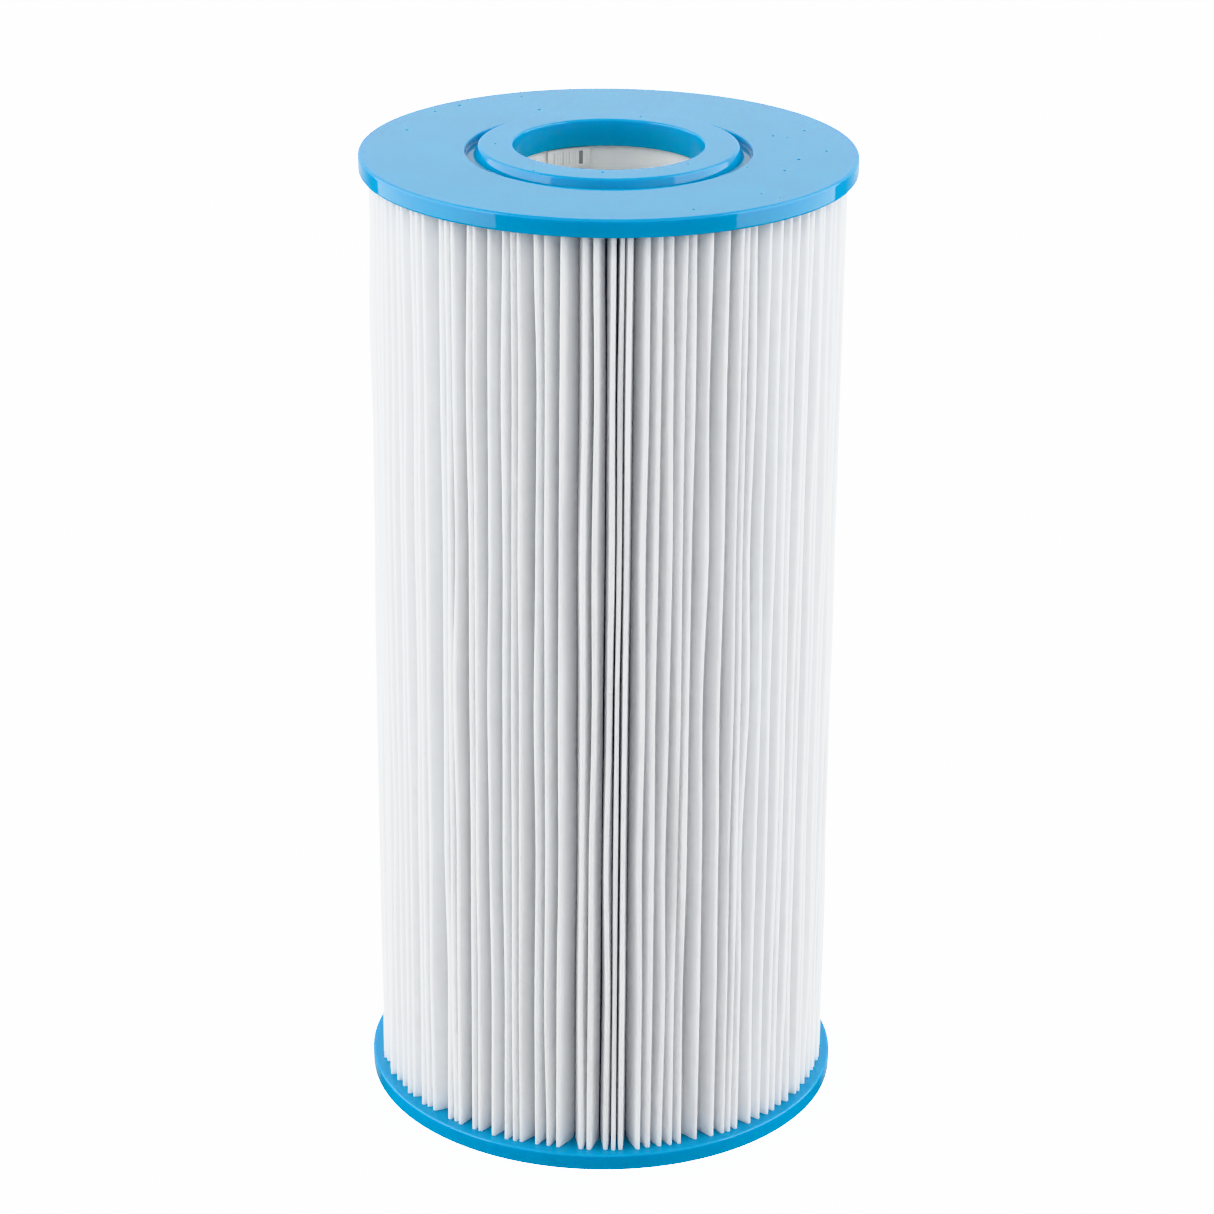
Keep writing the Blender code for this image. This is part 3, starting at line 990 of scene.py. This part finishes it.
class CARTRIDGE_OT_core_sections(bpy.types.Operator):
    """Mould the core's stacked sections, with their windows and lap joints"""

    bl_idname = "cartridge.core_sections"
    bl_label = "Core sections"

    def execute(self, context):
        settings = context.scene.cartridge_core
        material = moulded_plastic(settings)
        top_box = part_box(CORE_NODES[-1])
        height = top_box[1].z - top_box[0].z
        for made, node in enumerate(CORE_NODES):
            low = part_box(node)[0].z
            tube, inner, outer = core_tube(
                settings, low, height, made > 0, made < len(CORE_NODES) - 1)
            cutter = window_cutter(settings, low, height, inner, outer)
            apply_modifier(tube, "BOOLEAN", operation="DIFFERENCE", solver="EXACT",
                           object=cutter)
            discard(cutter)
            tube.name = f"moulded_core_{made + 1}"
            smooth_round_flats(tube, 30)
            settle(tube, node, material)
        return {"FINISHED"}


# Label


class CARTRIDGE_OT_core_label(bpy.types.Operator):
    """Stick the small printed label on the core's wall"""

    bl_idname = "cartridge.core_label"
    bl_label = "Core label"

    def execute(self, context):
        settings = context.scene.cartridge_label
        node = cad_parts["core_label"]
        low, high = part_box("core_label")
        reaches = [reach(vert.co) for vert in node.data.vertices]
        angles = [bearing(vert.co) for vert in node.data.vertices]
        outer, inner = max(reaches), min(reaches)
        first, last = min(angles), max(angles)
        deselect_all()
        bpy.ops.mesh.primitive_plane_add(
            size=1, location=((outer + inner) / 2, 0, (low.z + high.z) / 2),
            rotation=(math.pi / 2, 0, 0))
        label = bpy.context.active_object
        label.name = "printed_label"
        label.scale = ((outer - inner) / 2, high.z - low.z, 1)
        apply_place(label)
        with editing(label):
            bpy.ops.mesh.select_all(action="SELECT")
            bpy.ops.mesh.spin(steps=16, angle=last - first, center=(0, 0, 0),
                              axis=(0, 0, 1))
            bpy.ops.mesh.select_all(action="SELECT")
            bpy.ops.mesh.remove_doubles(threshold=EPSILON)
            bpy.ops.mesh.normals_make_consistent(inside=False)
        label.rotation_euler.z = first - min(bearing(vert.co) for vert in label.data.vertices)
        apply_place(label)
        uv = label.data.uv_layers.active or label.data.uv_layers.new(name="print")
        for loop in label.data.loops:
            co = label.data.vertices[loop.vertex_index].co
            share = (bearing(co) - first) / (last - first)
            uv.data[loop.index].uv = (1 - share, (co.z - low.z) / (high.z - low.z))
        smooth(label)
        settle(label, "core_label", printed_paper(settings))
        return {"FINISHED"}


# Stage


def area_light(name, place, size, watts):
    """A softbox, as wide and tall as size says, that looks level across the axis."""
    deselect_all()
    bpy.ops.object.light_add(type="AREA", location=place)
    light = bpy.context.active_object
    light.name = name
    light.data.shape = "RECTANGLE"
    light.data.size, light.data.size_y = size
    light.data.energy = watts
    light.rotation_euler = Vector((-place[0], 0, 0)).to_track_quat("-Z", "Y").to_euler()


def white_surround(settings):
    """A white world, dimmer behind the camera, overhead and below."""
    world = bpy.data.worlds.new("white_surround")
    bpy.context.scene.world = world
    world.use_nodes = True
    tree = world.node_tree
    sky = tree.nodes["Background"]
    where = add_node(tree, "TexCoord").outputs["Generated"]
    split = add_node(tree, "SeparateXYZ", {"Vector": where})
    y, z = split.outputs["Y"], split.outputs["Z"]
    above = ramp(tree, z, -0.1, 0.02)
    overhead = ramp(tree, z, 0.4, 0.9)
    low = ramp(tree, y, -0.85, 0.1, settings.low_front, settings.low_back)
    band = ramp(tree, y, -0.85, 0.1, settings.front_sky, settings.back_sky)
    corners = add_node(tree, "Math", {
        0: ramp(tree, y, -0.95, -0.75), 1: ramp(tree, y, -0.25, -0.5)}, operation="MULTIPLY")
    band = add_node(tree, "Math", {
        0: corners.outputs["Value"], 1: settings.side_sky, 2: band}, operation="MULTIPLY_ADD")
    ray = add_node(tree, "LightPath")
    glossed = add_node(tree, "Mix", {
        0: ray.outputs["Is Glossy Ray"], 2: 1.0,
        3: ramp(tree, y, 0.7, 0.9, settings.low_gloss)})
    below = add_node(tree, "Math", {0: low, 1: glossed.outputs[0]}, operation="MULTIPLY")
    upper = add_node(tree, "Mix", {0: overhead, 2: band.outputs["Value"], 3: settings.zenith})
    both = add_node(tree, "Mix", {0: above, 2: below.outputs["Value"], 3: upper.outputs[0]})
    tree.links.new(both.outputs[0], sky.inputs["Strength"])
    sky.inputs["Color"].default_value = (1, 1, 1, 1)


class CARTRIDGE_OT_stage(bpy.types.Operator):
    """Set up the pale floor, the soft lights and the camera"""

    bl_idname = "cartridge.stage"
    bl_label = "Stage"

    def execute(self, context):
        settings = context.scene.cartridge_stage
        deselect_all()
        bpy.ops.mesh.primitive_plane_add(size=40, location=(0, 0, cad_low.z))
        floor = context.active_object
        floor.name = "pale_floor"
        apply_place(floor)
        floor.data.materials.append(pale_floor_paint(settings))
        floor.visible_glossy = floor.visible_diffuse = False
        floor.visible_transmission = floor.visible_shadow = False
        area_light("left_softbox", (-0.95, -0.05, 0.75), (1.5, 1.5), settings.left_watts)
        area_light("right_softbox", (0.95, 0.0, 0.75), (1.2, 1.5), settings.right_watts)
        white_surround(settings)

        camera_data = bpy.data.cameras.new("camera")
        camera_data.lens = settings.lens
        camera = bpy.data.objects.new("camera", camera_data)
        context.scene.collection.objects.link(camera)
        place = Matrix.Translation(
            (settings.camera_side, -settings.camera_back, settings.camera_up))
        look = Matrix.Rotation(math.pi / 2 - settings.camera_down, 4, "X")
        roll = Matrix.Rotation(settings.camera_roll, 4, "Z")
        camera.matrix_world = place @ look @ roll
        context.scene.camera = camera
        context.scene.view_settings.view_transform = "Khronos PBR Neutral"
        cycles = context.scene.cycles
        cycles.max_bounces = cycles.diffuse_bounces = LIGHT_BOUNCES
        cycles.transmission_bounces = LIGHT_BOUNCES
        return {"FINISHED"}


class CARTRIDGE_PT_panel(bpy.types.Panel):
    """Lists the pieces in the order they are made"""

    bl_idname = "CARTRIDGE_PT_panel"
    bl_label = "Filter cartridge"
    bl_space_type = "VIEW_3D"
    bl_region_type = "UI"
    bl_category = "Cartridge"

    def draw(self, context):
        layout = self.layout
        for operator in OPERATORS:
            layout.operator(operator.bl_idname)
        for name, group in SETTINGS.items():
            box = layout.box()
            box.label(text=group.__doc__)
            settings = getattr(context.scene, name)
            for title in group.__annotations__:
                box.prop(settings, title)


OPERATORS = (
    CARTRIDGE_OT_end_caps,
    CARTRIDGE_OT_pleated_media,
    CARTRIDGE_OT_seam_bead,
    CARTRIDGE_OT_core_sections,
    CARTRIDGE_OT_core_label,
    CARTRIDGE_OT_stage,
)
SETTINGS = {
    "cartridge_caps": CapSettings,
    "cartridge_media": MediaSettings,
    "cartridge_core": CoreSettings,
    "cartridge_label": LabelSettings,
    "cartridge_stage": StageSettings,
}
CLASSES = (*SETTINGS.values(), *OPERATORS, CARTRIDGE_PT_panel)


def register():
    for cls in CLASSES:
        bpy.utils.register_class(cls)
    for name, group in SETTINGS.items():
        setattr(bpy.types.Scene, name, PointerProperty(type=group))


def unregister():
    for name in SETTINGS:
        delattr(bpy.types.Scene, name)
    for cls in reversed(CLASSES):
        bpy.utils.unregister_class(cls)


def main():
    register()
    bpy.ops.cartridge.end_caps()
    bpy.ops.cartridge.pleated_media()
    bpy.ops.cartridge.seam_bead()
    bpy.ops.cartridge.core_sections()
    bpy.ops.cartridge.core_label()
    bpy.ops.cartridge.stage()


if __name__ == "__main__":
    main()
